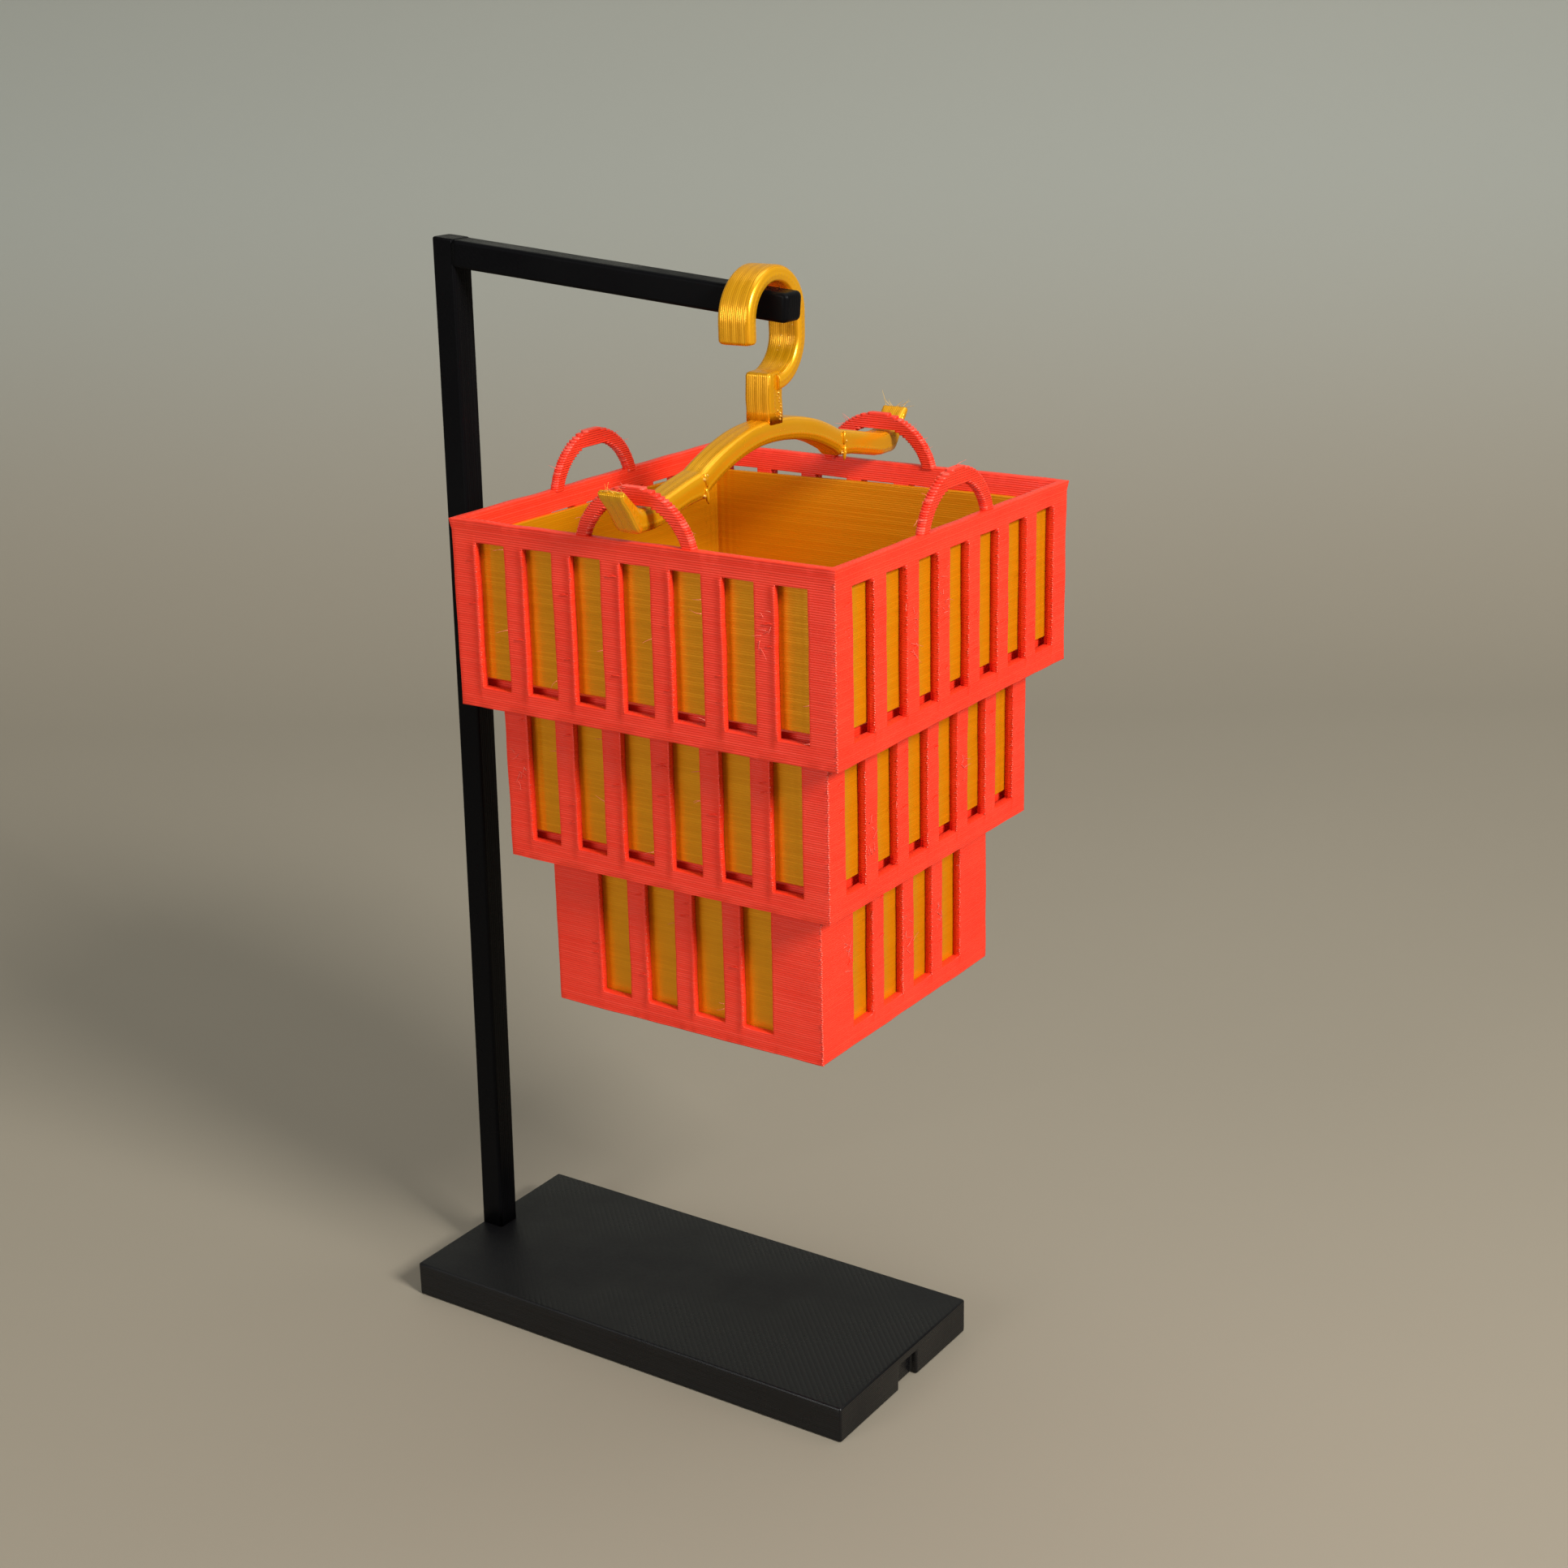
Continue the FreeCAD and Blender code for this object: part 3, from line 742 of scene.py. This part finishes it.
def addSeams(bm, name, middles, hasFlange, luck):  # a bead where each layer's line began
    low, high, centre, half = tierBox(name)
    layers = int((high.z - low.z) / tier["layer"])
    if hasFlange:
        layers -= tier["flangeLayers"]
    seams = [(centre.x + half - 0.03 * mm, centre.y - half + 0.03 * mm, 0, layers, 1)]
    first = int(tier["rail"] / tier["layer"])
    last = layers - first
    for m in middles:
        out, edge = half + tier["lip"] * 0.5, m + tier["slot"] / 2
        seams.append((centre.x + out, centre.y + edge, first, last, luck.uniform(0.6, 0.95)))
        seams.append((centre.x - edge, centre.y - out, first, last, luck.uniform(0.1, 0.5)))
        seams.append((centre.x + edge, centre.y + out, first, last, luck.uniform(0.1, 0.8)))
        seams.append((centre.x - out, centre.y - edge, first, last, luck.uniform(0.1, 0.8)))
    for x, y, start, stop, chance in seams:
        corner = chance == 1
        for n in range(start, stop):
            if luck.random() < chance:
                dx, dy = (luck.uniform(-1, 1) * tier["beadJitter"] for k in range(2))
                spot = Vector((x + dx, y + dy, low.z + (n + 0.5) * tier["layer"]))
                size = luck.uniform(tier["beadLow"], tier["beadHigh"])
                size += tier["cornerBead"] if corner else 0
                # painted highlight: beads are painted paler, most on the +X face where the key
                # light falls, partly scuffed plastic
                pale = luck.uniform(0.4, 1.0) * (tier["cornerPale"] if corner else chance)
                addBead(bm, spot, size * mm, pale)


def addScars(bm, name, lips, luck):  # creases across bars, and tangles caught on some
    low, high, centre, half = tierBox(name)
    slotLow, slotHigh = low.z + tier["rail"], high.z - tier["rail"]
    for lip in lips:
        for side in sides:
            place = Matrix.Translation(centre) @ Matrix.Rotation(radians(sides[side]), 4, "Z")
            for n in range(luck.choice((1, 2, 2, 3))):
                z = luck.uniform(slotLow + 2 * mm, slotHigh - 1 * mm) - centre.z
                face = -half - tier["lip"] * 0.4
                reach = luck.uniform(0.5, 1.5) * mm
                addCrease(bm, place @ Vector((lip - 0.05 * mm, face, z)),
                          place @ Vector((lip - reach, face + 0.03 * mm, z)), tier["crease"])
            if luck.random() < tier["tangles"]:
                bottom = luck.uniform(slotLow, slotHigh - 5 * mm) - centre.z
                for n in range(tier["tangleHairs"]):
                    start = Vector((lip - luck.uniform(0.2, 1.6) * mm, -half - 0.02 * mm,
                                    bottom + luck.uniform(0, 4) * mm))
                    way = Vector((luck.uniform(-1, 1), -0.12, luck.uniform(-1, 1)))
                    addHair(bm, place @ start, place.to_3x3() @ way,
                            luck.uniform(0.5, 1.0) * mm, luck)


def addStrings(bm, name, middles, luck):  # hairs pulled between the bars
    low, high, centre, half = tierBox(name)
    for n in range(tier["hairs"]):
        m = luck.choice(middles)
        z = luck.uniform(low.z + tier["rail"], high.z - tier["rail"])
        if luck.random() < 0.5:
            start = Vector((centre.x + half, centre.y + m + tier["slot"] / 2, z))
            heading = Vector((0.5, -1, luck.uniform(-0.6, 0.6)))
        else:
            start = Vector((centre.x + m + tier["slot"] / 2, centre.y - half, z))
            heading = Vector((-1, -0.3, luck.uniform(-0.6, 0.6)))
        addHair(bm, start, heading, luck.uniform(0.5, 1.3) * mm, luck)


def makeFrame(name):
    count = slotCounts[name]
    middles = [(n - (count - 1) / 2) * tier["pitch"] for n in range(count)]
    lips = [m - tier["slot"] / 2 for m in middles]  # where a bar ends and a slot begins
    parts = frameParts(name)
    bm = frameSkin(name, parts, middles)
    luck = random.Random(name)
    bulgeBars(bm, name, lips)
    waver(bm, tier["waver"], 330, tierSeed[name])
    if name == "top":
        flareRim(bm, name)
    addSeams(bm, name, middles, parts["flange"], luck)
    addScars(bm, name, lips, luck)
    addStrings(bm, name, middles, luck)
    nodes = [name + "_wall_" + side for side in sides]
    nodes += [name + "_" + part for part, box in parts.items() if box]
    addPiece(name + "Frame", bm, red, name + "_tier", nodes)


liner = {"rounding": 0.07 * mm, "step": 1.4 * mm, "waver": 0.05 * mm, "wall": 0.5 * mm,
         "lift": 0.0, "settle": 0.46 * mm}


def makeLiner(name):
    low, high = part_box(name + "_liner")
    centre, half = (low + high) / 2, (high.x - low.x) / 2
    inside = half - liner["wall"]
    spread = stations([-half, -inside, inside, half], liner["step"])
    grid = [[centre.x + u for u in spread], [centre.y + u for u in spread],
            stations([low.z, high.z], liner["step"])]
    bm = cellMesh(grid, lambda x, y, z: max(abs(x - centre.x), abs(y - centre.y)) > inside,
                  liner["rounding"])
    mark(bm, "corner", lambda co: (half - min(abs(co.x - centre.x), abs(co.y - centre.y))) / mm)
    for v in bm.verts:  # its top edge sits lowest at the back left corner
        if v.co.z > centre.z:
            far = (v.co.x - low.x + high.y - v.co.y) / (high.x - low.x)
            v.co.z += liner["lift"] + liner["settle"] * min(far * 1.35, 1.0)
    waver(bm, liner["waver"], 120, {"top": 11, "middle": 12, "bottom": 13}[name])
    addPiece(name + "Liner", bm, linerGold, name + "_tier", [name + "_liner"])


handle = {"band": 1.2 * mm, "sink": 1.6 * mm, "inside": 3.1 * mm, "layer": 0.2 * mm,
          "inset": 0.01 * mm, "jitter": 0.018 * mm, "chamfer": 0.16 * mm, "shoulder": 0.18 * mm,
          "lean": 0.12 * mm, "paleness": (0, 0, 0.1, 0.25), "hairs": 12}


def addSlab(bm, place, u0, u1, v0, v1, z0, z1, luck):  # one printed layer of a handle
    layer = vertexNumber(bm, "seamAndSheen")
    cut = min(handle["chamfer"], (u1 - u0) * 0.4)
    far = cut + min(handle["shoulder"], (u1 - u0) * 0.08)
    plan = [(u0 + far, v0), (u1 - far, v0), (u1 - cut, v0), (u1, v0 + cut), (u1, v1 - cut),
            (u1 - cut, v1), (u1 - far, v1), (u0 + far, v1), (u0 + cut, v1), (u0, v1 - cut),
            (u0, v0 + cut), (u0 + cut, v0)]
    um, vm = (u0 + u1) / 2, (v0 + v1) / 2
    pale = luck.choice(handle["paleness"])
    levels = ((z0, handle["inset"]), (z0 * 0.75 + z1 * 0.25, 0), (z0 * 0.25 + z1 * 0.75, 0),
              (z1, handle["inset"]))
    rings = []
    for z, inset in levels:
        ring = []
        for u, v in plan:
            u -= inset * (1 if u > um else -1)
            v -= inset * (1 if v > vm else -1)
            vert = bm.verts.new(place @ Vector((u, v, z)))
            # painted highlight: the ends of some layers are painted paler, partly scuffed plastic
            vert[layer] = pale if abs(u - um) > (u1 - u0) / 2 - cut - 0.03 * mm else 0.0
            ring.append(vert)
        rings.append(ring)
    joinRings(bm, rings)


def makeHandle(side):  # an arch of stacked layers, flush with the wall
    low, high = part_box("handle_" + side)
    centre, half = tierBox("top")[2:]
    place = (Matrix.Translation((centre.x, centre.y, 0))
             @ Matrix.Rotation(radians(sides[side]), 4, "Z"))
    height = high.z - low.z
    outer = height + handle["sink"]
    inner = outer - handle["band"]
    luck = random.Random(side)
    bm = bmesh.new()
    count = round(height / handle["layer"])
    v0, v1 = -half, -half + tier["wall"]
    lean = luck.uniform(-1, 1) * handle["lean"]
    for n in range(-1, count):  # the first layer is sunk into the rim
        z0 = low.z + height * n / count
        z1 = low.z + height * (n + 1) / count
        mid = max(0.0, (z0 + z1) / 2 - low.z)
        shift = lean * mid / height
        wobble = [luck.uniform(-1, 1) * handle["jitter"] for k in range(4)]
        reach = sqrt(max(outer ** 2 - (mid + handle["sink"]) ** 2, 0))
        left, right = -reach + shift + wobble[0], reach + shift + wobble[3]
        if mid < handle["inside"] - 0.05 * mm:
            gap = sqrt(inner ** 2 - (mid + handle["sink"]) ** 2)
            addSlab(bm, place, left, -gap + shift + wobble[1], v0, v1, z0, z1, luck)
            addSlab(bm, place, gap + shift + wobble[2], right, v0, v1, z0, z1, luck)
        else:
            addSlab(bm, place, left, right, v0, v1, z0, z1, luck)
    for n in range(handle["hairs"]):
        angle = luck.uniform(0.1, 0.9) * pi
        start = place @ Vector((outer * cos(angle), v0 + luck.uniform(0, 0.8) * mm,
                                low.z - handle["sink"] + outer * sin(angle)))
        if start.z < low.z + 0.2 * mm:
            continue
        way = Vector((cos(angle), luck.uniform(-0.6, 0.2), luck.uniform(-0.5, 0.5)))
        addHair(bm, start, place.to_3x3() @ way, luck.uniform(0.3, 0.9) * mm, luck)
    addPiece("handle" + side.capitalize(), bm, red, "top_tier", ["handle_" + side])


for name in slotCounts:
    makeFrame(name)
    makeLiner(name)
for side in sides:
    makeHandle(side)
print("lantern done")


room = {
    "floor": 6.0, "sweepFrom": 0.20, "sweep": 0.14, "sweepSteps": 12, "paleAbove": 0.09,
    "floorColour": (0.265, 0.235, 0.182, 1), "wallColour": (0.30, 0.31, 0.275, 1),
    "rough": 0.6, "specular": 0.25, "speckScale": 14.0, "speckShade": 0.96,
    "worldColour": (0.80, 0.81, 0.80, 1), "worldStrength": 0.38,
}
lights = {  # place, aim, size, watts, colour
    "key": ((0.43, -0.115, 0.33), (0.0, 0.0, 0.06), 0.12, 3.6, (1.0, 0.97, 0.93)),
    "fill": ((-0.13, -0.50, 0.20), (0.0, 0.0, 0.06), 0.22, 0.95, (1.0, 0.99, 0.97)),
    "room": ((0.05, 0.30, 0.95), (0.0, 0.20, 0.0), 0.90, 5.0, (0.98, 0.99, 1.0)),
}
shot = {"azimuth": 33.869, "elevation": 18.570, "roll": -1.178, "distance": 0.2180,
        "target": (0.01274, 0.0, 0.05720), "lens": 56.43}


def makeFloor():
    finish = Finish("paleFloor")
    place = finish.node("ShaderNodeTexCoord", output="Object")
    speck = finish.grain(place, room["speckScale"], 4.0)
    shade = [c * room["speckShade"] for c in room["floorColour"][:3]] + [1]
    colour = finish.blend(speck, room["floorColour"], shade)
    height = finish.split(place)[2]
    colour = finish.blend(height.between(0.0, room["paleAbove"]), colour, room["wallColour"])
    surface = finish.node("ShaderNodeBsdfPrincipled", values={
        "Base Color": colour, "Roughness": room["rough"], "Specular IOR Level": room["specular"]})
    finish.node("ShaderNodeOutputMaterial", values={"Surface": surface})
    bm = bmesh.new()  # one sheet that sweeps up behind the object
    size, rows = room["floor"], []
    begin = room["sweepFrom"]
    profile = [(-size, 0), (begin, 0)]
    for n in range(1, room["sweepSteps"] + 1):
        angle = n / room["sweepSteps"] * pi / 2
        profile.append((begin + room["sweep"] * sin(angle), room["sweep"] * (1 - cos(angle))))
    profile.append((begin + room["sweep"], size))
    for y, z in profile:
        rows.append([bm.verts.new((x, y, z)) for x in (-size, size)])
    for one, two in zip(rows, rows[1:]):
        bm.faces.new((one[0], one[1], two[1], two[0]))
    mesh = bpy.data.meshes.new("floor")
    bm.to_mesh(mesh)
    bm.free()
    mesh.polygons.foreach_set("use_smooth", [True] * len(mesh.polygons))
    mesh.materials.append(finish.material)
    floor = bpy.data.objects.new("floor", mesh)
    floor.rotation_euler.z = radians(shot["azimuth"])
    bpy.context.scene.collection.objects.link(floor)


def makeLights():
    for name, (spot, aim, size, watts, colour) in lights.items():
        lamp = bpy.data.lights.new(name, "AREA")
        lamp.size, lamp.energy, lamp.color = size, watts, colour
        thing = bpy.data.objects.new(name, lamp)
        thing.location = spot
        thing.rotation_euler = (Vector(aim) - Vector(spot)).to_track_quat("-Z", "Y").to_euler()
        bpy.context.scene.collection.objects.link(thing)
    world = bpy.data.worlds.new("studio")
    world.use_nodes = True
    sky = world.node_tree.nodes["Background"]
    sky.inputs["Color"].default_value = room["worldColour"]
    sky.inputs["Strength"].default_value = room["worldStrength"]
    bpy.context.scene.world = world


def makeCamera():
    az, el, roll = (radians(shot[k]) for k in ("azimuth", "elevation", "roll"))
    back = Vector((sin(az) * cos(el), -cos(az) * cos(el), sin(el)))
    right = (-back).cross(Vector((0, 0, 1))).normalized()
    upward = right.cross(-back)
    level, tall = cos(roll) * right + sin(roll) * upward, cos(roll) * upward - sin(roll) * right
    camera = bpy.data.objects.new("camera", bpy.data.cameras.new("camera"))
    camera.data.lens = shot["lens"]
    camera.data.clip_start, camera.data.clip_end = 0.01, 20
    turn = Matrix((level, tall, back)).transposed().to_4x4()
    place = Vector(shot["target"]) + back * shot["distance"]
    camera.matrix_world = Matrix.Translation(place) @ turn
    bpy.context.scene.collection.objects.link(camera)
    bpy.context.scene.camera = camera


makeFloor()
makeLights()
makeCamera()
print("room done")

bpy.context.scene.view_settings.view_transform = "Standard"
bpy.context.view_layer.update()
